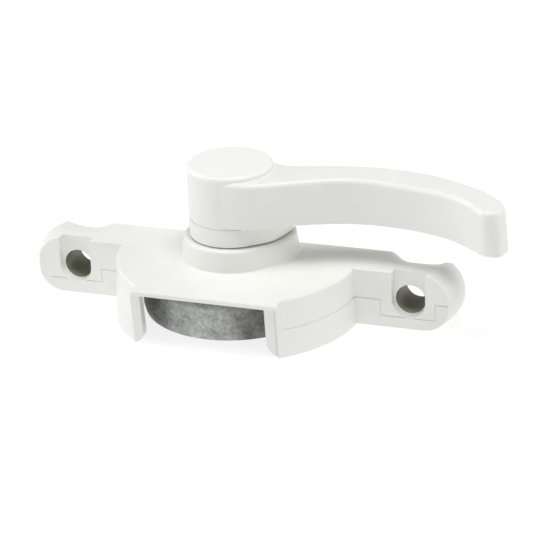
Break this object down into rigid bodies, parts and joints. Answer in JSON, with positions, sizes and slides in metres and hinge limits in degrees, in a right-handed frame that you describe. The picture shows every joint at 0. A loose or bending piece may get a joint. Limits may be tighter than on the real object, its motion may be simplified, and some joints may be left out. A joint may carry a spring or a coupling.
{
  "type": "crescent window lock",
  "caption": "White die-cast crescent lock for a sliding window: a lever on a round hub turns a half-round cam under a screw-on body to hook the keeper",
  "frame": {"origin": "midway between the two screw holes, on the mounting face", "axes": "+X along the body the way the lever points at rest, +Y out of the mounting face into the window, +Z along the spindle towards the lever"},
  "size_m": [0.1103, 0.0332, 0.0341],
  "materials": {
    "white_paint": "satin white powder coat on die-cast zinc",
    "white_cap": "satin white moulded cap",
    "cast_zinc": "dull as-cast zinc, mottled grey",
    "steel": "zinc-plated steel",
    "bearing_plastic": "dark grey acetal"
  },
  "bodies": {
    "base": {"housing": "white_paint", "upper_bush": "bearing_plastic", "lower_bush": "bearing_plastic", "thrust_washer": "bearing_plastic", "stop_pins": "steel"},
    "lever_set": {"handle": "white_paint", "hub_cap": "white_cap", "spindle": "steel", "handle_screw": "steel", "handle_lock_washer": "steel", "curved_washer": "steel", "stop_plate": "steel", "cam": "cast_zinc", "cam_washer": "steel", "cam_lock_washer": "steel", "cam_screw": "steel"}
  },
  "joints": [
    {"name": "lever_turn", "type": "hinge", "parent": "base", "child": "lever_set", "pos_m": [-0.00145, -0.0086, 0], "axis": [0, 0, -1], "range_deg": [0, 180]}
  ]
}
